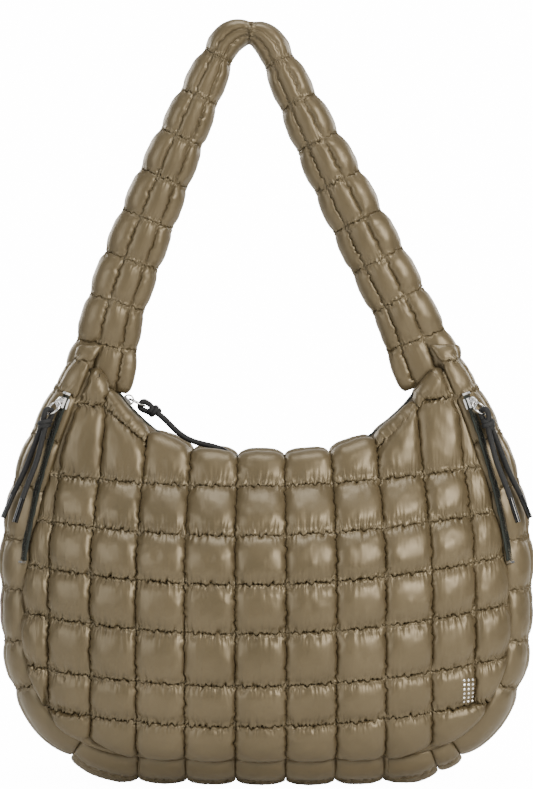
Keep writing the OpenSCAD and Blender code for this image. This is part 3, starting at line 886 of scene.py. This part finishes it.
def strap_frame(s):
    x = np.interp(s, strap_s, strap_xz[:, 0])
    z = np.interp(s, strap_s, strap_xz[:, 1])
    e = 2 * MM
    tx = np.interp(s + e, strap_s, strap_xz[:, 0]) - np.interp(s - e, strap_s, strap_xz[:, 0])
    tz = np.interp(s + e, strap_s, strap_xz[:, 1]) - np.interp(s - e, strap_s, strap_xz[:, 1])
    t = unit(np.stack([tx, tz], -1))
    to_peak = 1 - np.abs(2 * np.clip((s - STRAP_TAIL) / (STRAP_LEN - 2 * STRAP_TAIL), 0, 1) - 1)
    into_bag = np.clip(1 - np.minimum(s, STRAP_LEN - s) / STRAP_TAIL, 0, 1)
    return x, z, t, to_peak, into_bag


def strap_patch(s0, s1, a0, a1):
    def surface(u, v):
        x, z, t, to_peak, into_bag = strap_frame(mix(s0, s1, v))
        a = mix(a0, a1, u)
        w = mix(*STRAP_HALF_W, 1 - to_peak**2) * MM - STRAP_INSET * mix(1, 0.55, to_peak**2)
        d = mix(*STRAP_HALF_D, to_peak) * MM - STRAP_INSET
        w = w * mix(1, 1.2, smooth(into_bag * 1.4))
        d = d * mix(1, 0.55, smooth(into_bag * 1.6))
        return np.stack([x + t[..., 1] * w * np.cos(a), d * np.sin(a), z - t[..., 0] * w * np.cos(a)], -1)
    return surface


def strap_frame_for(s0, s1, a0, a1):
    def frame_at(p, u, v):
        s, a = mix(s0, s1, v), mix(a0, a1, u)
        _, _, t, _, _ = strap_frame(s)
        zero = np.zeros_like(s)
        out = np.stack([t[..., 1] * np.cos(a), np.sin(a), -t[..., 0] * np.cos(a)], -1)
        up = np.stack([t[..., 0], zero, t[..., 1]], -1)
        side = np.cross(up, out)
        # the way round is measured from the back both ways, so that it meets itself at the front
        return out, up, side, 26 * MM * np.abs((a + math.pi / 2) % (2 * math.pi) - math.pi), s
    return frame_at


def build_strap():
    quilt = Quilt(28, 28, None, height=11 * MM, gather=2.0 * MM)
    for i in range(STRAP_ROWS):
        s0, s1 = (STRAP_LEN * (i + t) / STRAP_ROWS for t in (0, 1))
        for k in range(len(STRAP_SEAMS)):
            a0 = math.radians(STRAP_SEAMS[k])
            last_seam = k + 1 == len(STRAP_SEAMS)
            a1 = math.radians(STRAP_SEAMS[0] + 360 if last_seam else STRAP_SEAMS[k + 1])
            quilt.frame = strap_frame_for(s0, s1, a0, a1)
            seeds = (i if i else None, i + 1 if i < STRAP_ROWS - 1 else None,
                     UPRIGHT_SEED + k, UPRIGHT_SEED + (k + 1) % len(STRAP_SEAMS))
            quilt.add(strap_patch(s0, s1, a0, a1), seeds)
    obj = quilt.build("strap_quilt", nylon)
    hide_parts("strap_shell", "strap_wadding", "left_strap_root", "right_strap_root")
    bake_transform(obj)


build_strap()

# ---------------------------------------------------------------- plain materials

def plain(name, base, roughness, metallic=0.0, grain=900, depth=0.1 * MM):
    """One colour with a fine grain; the tone drifts a little from place to place."""
    material, nodes, links, shader = node_material(name, base, roughness, Metallic=metallic)
    drift = noise_node(nodes, links, 60, 3)
    dark = tuple(0.82 * c for c in base)
    ramp = ramp_node(nodes, links, drift.outputs["Fac"], [(0.35, dark), (0.65, base)])
    links.new(ramp.outputs["Color"], shader.inputs["Base Color"])
    fine = noise_node(nodes, links, grain, 3)
    bump_node(nodes, links, fine.outputs["Fac"], shader, 0.25, depth)
    return material


lining = plain("lining_weave", (0.07, 0.055, 0.03), 0.7)
nylon_plain = plain("plain_nylon", (0.1, 0.075, 0.038), 0.45, grain=160, depth=0.8 * MM)
wadding = plain("wadding_white", (0.85, 0.84, 0.8), 0.9, grain=500, depth=0.4 * MM)
zip_dark = plain("zip_tape_weave", (0.009, 0.013, 0.008), 0.8, grain=1500, depth=0.25 * MM)
coil_black = plain("zip_coil_nylon", (0.009, 0.012, 0.008), 0.4)
steel = plain("nickel_metal", (0.78, 0.77, 0.75), 0.2, 1.0)
cord_black = plain("cord_braid", (0.006, 0.006, 0.006), 0.75, grain=1800, depth=0.2 * MM)
tip_black = plain("tip_gloss", (0.006, 0.006, 0.006), 0.14)
crystal = plain("stud_crystal", (0.85, 0.82, 0.78), 0.15, 0.6)

# ---------------------------------------------------------------- cloth round the mouth

ZIP_TAPE_EDGE = 5.0 * MM
FACING_REACH = 186 * MM     # the facings end at this x on both sides


class ZipArc:
    """The arc that a zip lies on, read from the zip's slide joint and its coil."""

    def __init__(self, side, turn, inward=False):
        joint = joints[side + "_zip_slide"]
        self.centre = np.array(joint["pos_m"])
        axis = unit(np.array(joint["axis"]))
        self.front = -axis if axis[1] > 0 else axis
        spoke = node_points(side + "_zip_coils") - self.centre
        spoke = spoke - (spoke @ self.front)[:, None] * self.front
        self.radius = float(np.median(np.linalg.norm(spoke, axis=1)))
        self.e1 = unit(spoke.mean(0))
        self.e2 = unit(np.cross(self.front, self.e1))
        angle = np.arctan2(spoke @ self.e2, spoke @ self.e1)
        self.a0, self.a1 = float(angle.min()), float(angle.max())
        self.turn = math.radians(turn)
        self.sign = -1 if inward else 1
        self.length = (self.a1 - self.a0) * self.radius

    def at(self, s, across, out):
        """The point s along the zip from its start, across towards the front and out of the bag."""
        a = self.a0 + s / self.radius
        a, across, out = (np.asarray(t, dtype=float)[..., None] for t in (a, across, out))
        spoke = self.e1 * np.cos(a) + self.e2 * np.sin(a)
        face = self.sign * (spoke * math.cos(self.turn) + self.front * math.sin(self.turn))
        wide = self.front * math.cos(self.turn) - spoke * math.sin(self.turn)
        return self.centre + spoke * self.radius + wide * across + face * out


MOUTH_TURN = 37         # degrees by which the pocket zips face forward
zips = {"top": ZipArc("top", 0, True)}
zips |= {side: ZipArc(side, MOUTH_TURN) for side in ("left", "right")}


def build_facing(name, sign):
    """Plain cloth from the zip's tape up to the rim. Past the zip's ends it closes round the strap's foot."""
    zip_arc = zips["top"]
    x = np.linspace(-FACING_REACH, FACING_REACH, 241)[:, None]
    t = np.linspace(0, 1, 15)[None, :]
    zip_end = zip_arc.radius * math.sin(zip_arc.a1)
    low_x = np.minimum(np.abs(x), zip_end)
    zip_z = zip_arc.centre[2] - np.sqrt(zip_arc.radius**2 - low_x**2)
    past = np.maximum(np.abs(x) - zip_end, 0)
    inner_z = zip_z + past * 0.7
    inner_y = ZIP_TAPE_EDGE * (1 - smooth(past / (9 * MM)))
    rim = rim_shoulder(x)
    outer_y = panel_d(x, rim) - SEAM_INSET - 2 * RIM_ROLL + 1.5 * MM
    y = mix(inner_y, np.maximum(outer_y, 2 * MM), t)
    z = mix(inner_z, rim + 1 * MM, t)
    sag = np.sin(np.pi * t)
    z = z - 2.5 * MM * sag + 1.1 * MM * sag * wander(x + 0.3 * y, 3 + sign, 34 * MM)
    z = z + 0.6 * MM * sag * wander(x - 0.5 * y, 6, 11 * MM)
    points = np.stack([x + 0 * t, -sign * y, z], -1)
    under = points - np.array([0, 0, 1.0]) * MM
    rows, columns = points.shape[:2]
    count = rows * columns
    border = [i * columns for i in range(rows)], [i * columns + columns - 1 for i in range(rows)]
    top_faces = grid_faces(rows, columns)
    faces = [top_faces, grid_faces(rows, columns, count)[:, ::-1]]
    for line, way in zip(border, (1, -1)):
        walls = [(a, b, b + count, a + count)[::way] for a, b in zip(line[:-1], line[1:])]
        faces.append(np.array(walls))
    for first, way in ((0, -1), (count - columns, 1)):
        walls = [(a, a + 1, a + 1 + count, a + count)[::way] for a in range(first, first + columns - 1)]
        faces.append(np.array(walls))
    obj = solid(name + "_cloth", np.concatenate([points.reshape(-1, 3), under.reshape(-1, 3)]),
                np.concatenate(faces), nylon_plain)
    stand_for(obj, (name,), "bag")


build_facing("top_zip_front_facing", 1)
build_facing("top_zip_back_facing", -1)

LINING_DROP = 19 * MM   # the lining is sewn in this far below the crest of the puffed rim


def build_lining(side):
    """The lining of a panel as loose cloth, with its top edge tucked in below the rim."""
    source = frame["nodes"][side + "_lining"]
    points = node_points(side + "_lining")
    x, z = points[:, 0], points[:, 2].copy()
    points[:, 2] -= LINING_DROP * smooth((z - rim_height(x)) / (80 * MM) + 1)
    inward = -np.sign(points[:, 1].mean())
    points[:, 1] += inward * 0.8 * MM * (1 + wander(x + 0.4 * z, 4, 47 * MM))
    faces = [tuple(p.vertices) for p in source.data.polygons]
    obj = merged(side + "_lining_cloth", [(points, faces)], lining)
    stand_for(obj, (side + "_lining",), "bag")


# ---------------------------------------------------------------- zips


COIL_PITCH = 1.7 * MM
COIL_WIRE = 0.42 * MM
COIL_NEAR = 0.25 * MM
COIL_FAR = 3.0 * MM
COIL_HALF_T = 1.25 * MM


def build_coils(side):
    """Two spirals whose inner bends lie in one another's gaps."""
    arc = zips[side]
    turns = int(arc.length / COIL_PITCH)
    parts = []
    for way in (-1, 1):
        t = np.arange(turns * 9) / 9
        a = 2 * np.pi * t + (math.pi if way > 0 else 0)
        middle, half = (COIL_NEAR + COIL_FAR) / 2, (COIL_FAR - COIL_NEAR) / 2
        path = arc.at(t * arc.length / turns, way * (middle - half * np.cos(a)), COIL_HALF_T * np.sin(a))
        parts.append(sweep(tube_rings(path, COIL_WIRE, 5)))
    obj = merged(side + "_zip_spirals", parts, coil_black)
    stand_for(obj, (side + "_zip_coils",), "bag")


TAPE_SECTION = [(3.1, 0.4), (4.4, 0.35), (5.6, -0.5), (5.6, -1.3), (4.4, -0.5), (3.1, -0.4)]


def build_tapes(side):
    """Woven tape on both sides of the coil, a little wavy, with its far edge turned under the cloth."""
    arc = zips[side]
    s = np.linspace(0, arc.length, 200)[:, None]
    parts = []
    for way in (-1, 1):
        across = np.array([p[0] for p in TAPE_SECTION])[None, :] * MM
        out = np.array([p[1] for p in TAPE_SECTION])[None, :] * MM
        wave = 0.5 * MM * wander(s, 3 + way, 31 * MM) * np.clip((across - 4 * MM) / (2 * MM), 0, 1)
        parts.append(sweep(arc.at(s + 0 * across, way * across + 0 * s, out + wave)))
    obj = merged(side + "_zip_webbing", parts, zip_dark)
    stand_for(obj, (side + "_zip_tapes",), "bag")


for side in zips:
    build_coils(side)
    build_tapes(side)
build_lining("front")
build_lining("back")

# ---------------------------------------------------------------- cords

CORD_R = 2.75 * MM
KNOT_AT = 10.8 * MM     # the knot lies this far below the cord's hinge
LEG_APART = 3.4 * MM


def smooth_path(points, step):
    """A curve through rounded corners, with evenly spaced points."""
    p = np.asarray(points, dtype=float)
    for _ in range(4):
        q = np.empty((2 * len(p) - 2, 3))
        q[0::2] = p[:-1] * 0.75 + p[1:] * 0.25
        q[1::2] = p[:-1] * 0.25 + p[1:] * 0.75
        p = np.concatenate([p[:1], q, p[-1:]])
    s = np.concatenate([[0], np.cumsum(np.linalg.norm(np.diff(p, axis=0), axis=1))])
    even = np.linspace(0, s[-1], max(4, int(s[-1] / step)))
    return np.stack([np.interp(even, s, p[:, i]) for i in range(3)], -1)


def braid(s, a):
    """Strands crossing one another both ways round the cord."""
    run = 2 * np.pi * s / (7.5 * MM)
    return 0.2 * MM * np.maximum(np.sin(6 * a + 6 * run), np.sin(6 * a - 6 * run)) - 0.06 * MM


def build_cord(side, sag):
    joint = joints[side + "_cord_swing"]
    foot = np.array(joint["pos_m"])
    across = unit(np.array(joint["axis"]))
    tip_points = node_points(side + "_zip_tips")
    down = tip_points.mean(0) - foot
    down = unit(down - across * (down @ across))
    out = np.cross(across, down)
    out = out if out @ (foot - np.array([0, 0, 0.2])) > 0 else -out

    def place(o, d, c):
        return foot + (out * o + down * d + across * c) * MM

    legs = []
    for way in (1, -1):
        own = tip_points[(tip_points - foot) @ across * way > 0]
        knot = foot + down * KNOT_AT + across * way * LEG_APART
        ahead = unit(own.mean(0) - knot)
        start = ((own - knot) @ ahead).min()
        bend = np.sin(np.pi * np.linspace(0, 1, 9)) ** 1.5
        leg = [knot + ahead * start * t - out * sag * b
               + across * way * 1.2 * MM * math.sin(5 * t) * b / max(bend)
               for t, b in zip(np.linspace(0.08, 1, 9), bend)]
        legs.append(leg + [knot + ahead * (start + 0.8 * MM)])
    half_loop = [(0.5, 10.8, 2.6), (3.4, 6.4, 0.5), (4.3, 2, 0), (4.3, -2.4, 0), (2.6, -4.6, 0)]
    loop = [place(o, d, c) for o, d, c in half_loop] + [place(-o, d, -c) for o, d, c in half_loop[::-1]]
    path = smooth_path(legs[0][::-1] + loop + legs[1], 0.8 * MM)
    parts = [sweep(tube_rings(path, CORD_R, 30, braid))]
    t = np.linspace(0, 1, 60)
    turn = 2 * np.pi * 2.15 * t + 0.6
    wide = 4.9 * np.sin(np.pi * np.clip(t, 0.02, 0.98)) ** 0.3
    depth = 10.8 + (t - 0.5) * 8.2 + 1.9 * np.cos(turn - 0.8)
    wrap = [place(w * 0.95 * math.cos(a), d, w * 1.08 * math.sin(a)) for a, d, w in zip(turn, depth, wide)]
    parts.append(sweep(tube_rings(smooth_path(wrap, 0.8 * MM), CORD_R * 0.94, 30, braid)))
    obj = merged(side + "_zip_braid", parts, cord_black)
    stand_for(obj, (side + "_zip_cord",), side + "_cord")


build_cord("top", 8 * MM)
build_cord("left", 2 * MM)
build_cord("right", 2 * MM)

# ---------------------------------------------------------------- studs of the mark

STUD_COUNT = 18


def build_studs():
    """A small cut stud at the place of each stud of the frame, seated on the puffed cloth."""
    quilt = bpy.data.objects["front_quilt"]
    skin = BVHTree.FromPolygons([v.co for v in quilt.data.vertices],
                                [f.vertices for f in quilt.data.polygons])
    points = node_points("emblem_studs")
    per_stud = len(points) // STUD_COUNT
    parts = []
    for i in range(STUD_COUNT):
        centre = points[i * per_stud:(i + 1) * per_stud].mean(0)
        hit, normal, _, _ = skin.ray_cast(Vector((centre[0], -1, centre[2])), Vector((0, 1, 0)))
        if hit is None:
            continue
        n = np.array(unit(np.array(normal) + 2 * np.array([0.45, -0.85, 0])))
        n = n if n[1] < 0 else -n
        u = unit(np.cross(n, [0, 0, 1.0]))
        v = np.cross(u, n)
        rings = []
        for r, h in ((1.45, -0.8), (1.45, 0.25), (1.0, 0.75), (0.55, 0.95)):
            a = np.linspace(0, 2 * np.pi, 8, endpoint=False)
            ring = np.array(hit) + (np.outer(np.cos(a), u) + np.outer(np.sin(a), v)) * r * MM + n * h * MM
            rings.append(ring)
        parts.append(sweep(np.array(rings)))
    obj = merged("mark_studs", parts, crystal)
    obj.data.polygons.foreach_set("use_smooth", [False] * len(obj.data.polygons))
    stand_for(obj, ("emblem_studs",), "bag")


build_studs()

# ---------------------------------------------------------------- carried-over CAD pieces

by_slot = {"wadding": wadding, "lining": lining, "zip_tape": zip_dark, "zip_coil": coil_black,
           "pull_metal": steel, "cord": cord_black, "cord_tip": tip_black, "stud_metal": steel,
           "quilted_nylon": nylon}
for part in frame["record"]["subparts"]:
    obj = frame["nodes"][part["node"]]
    obj.data.materials.clear()
    obj.data.materials.append(by_slot[part["material_slot"]])

# ---------------------------------------------------------------- stage, lights, camera

WHITE = 14      # strength at which a surface seen by the camera is plain white


def build_stage():
    floor_half = 6.0
    wall_y = 2.4
    bend = 0.8
    profile = [(-4.0, 0.0), (wall_y - bend, 0.0)]
    profile += [(wall_y - bend + bend * math.sin(a), bend - bend * math.cos(a))
                for a in np.linspace(0, math.pi / 2, 12)[1:]]
    profile.append((wall_y, 5.0))
    points = [(x, y, z) for y, z in profile for x in (-floor_half, floor_half)]
    faces = [(2 * i, 2 * i + 1, 2 * i + 3, 2 * i + 2) for i in range(len(profile) - 1)]
    material, nodes, links, shader = node_material("pale_stage", (0.9, 0.9, 0.89), 0.9)
    # the backdrop glows for the camera alone, so that it is white without lighting the bag
    seen = nodes.new("ShaderNodeLightPath")
    glow = nodes.new("ShaderNodeMath")
    glow.operation = "MULTIPLY"
    glow.inputs[1].default_value = WHITE
    links.new(seen.outputs["Is Camera Ray"], glow.inputs[0])
    shader.inputs["Emission Color"].default_value = (1, 1, 1, 1)
    links.new(glow.outputs["Value"], shader.inputs["Emission Strength"])
    obj = solid("stage_sweep", points, faces, material)


def area_light(name, place, aim, size, power, color=(1, 1, 1)):
    data = bpy.data.lights.new(name, "AREA")
    data.size = size
    data.energy = power
    data.color = color
    obj = bpy.data.objects.new(name, data)
    obj.location = place
    obj.rotation_euler = (Vector(aim) - Vector(place)).to_track_quat("-Z", "Y").to_euler()
    bpy.context.scene.collection.objects.link(obj)


def build_camera():
    low, high = (Vector(v) for v in cad_bounds)
    middle = (low + high) / 2
    data = bpy.data.cameras.new("camera")
    data.sensor_fit = "VERTICAL"
    data.sensor_height = 24
    data.lens = 80
    distance = 2.745
    lift = 8 * MM
    obj = bpy.data.objects.new("camera", data)
    obj.location = (middle.x, -distance, middle.z + lift + 0.06)
    aim = Vector((middle.x, 0, middle.z + lift))
    obj.rotation_euler = (aim - obj.location).to_track_quat("-Z", "Y").to_euler()
    bpy.context.scene.collection.objects.link(obj)
    bpy.context.scene.camera = obj


def build_world():
    """Soft light all round, with a background that the camera alone sees as white."""
    world = bpy.data.worlds.new("world")
    world.use_nodes = True
    nodes, links = world.node_tree.nodes, world.node_tree.links
    soft = nodes["Background"]
    soft.inputs["Color"].default_value = (0.95, 0.97, 1, 1)
    soft.inputs["Strength"].default_value = 0.22
    white = nodes.new("ShaderNodeBackground")
    white.inputs["Color"].default_value = (1, 1, 1, 1)
    white.inputs["Strength"].default_value = WHITE
    seen = nodes.new("ShaderNodeLightPath")
    either = nodes.new("ShaderNodeMixShader")
    links.new(seen.outputs["Is Camera Ray"], either.inputs[0])
    links.new(soft.outputs[0], either.inputs[1])
    links.new(white.outputs[0], either.inputs[2])
    links.new(either.outputs[0], nodes["World Output"].inputs["Surface"])
    bpy.context.scene.world = world


build_stage()
centre = (0, 0, 0.35)
area_light("key", (1.35, -1.8, 1.35), centre, 0.9, 72, (1, 0.955, 0.88))
area_light("fill", (-1.8, -1.7, 1.1), centre, 1.4, 30)
area_light("top", (0.0, -0.2, 2.6), centre, 1.2, 42)
area_light("back_left", (-1.9, 1.7, 1.3), centre, 1.2, 34)
area_light("back_right", (1.9, 1.7, 1.3), centre, 1.2, 30)
build_world()
build_camera()
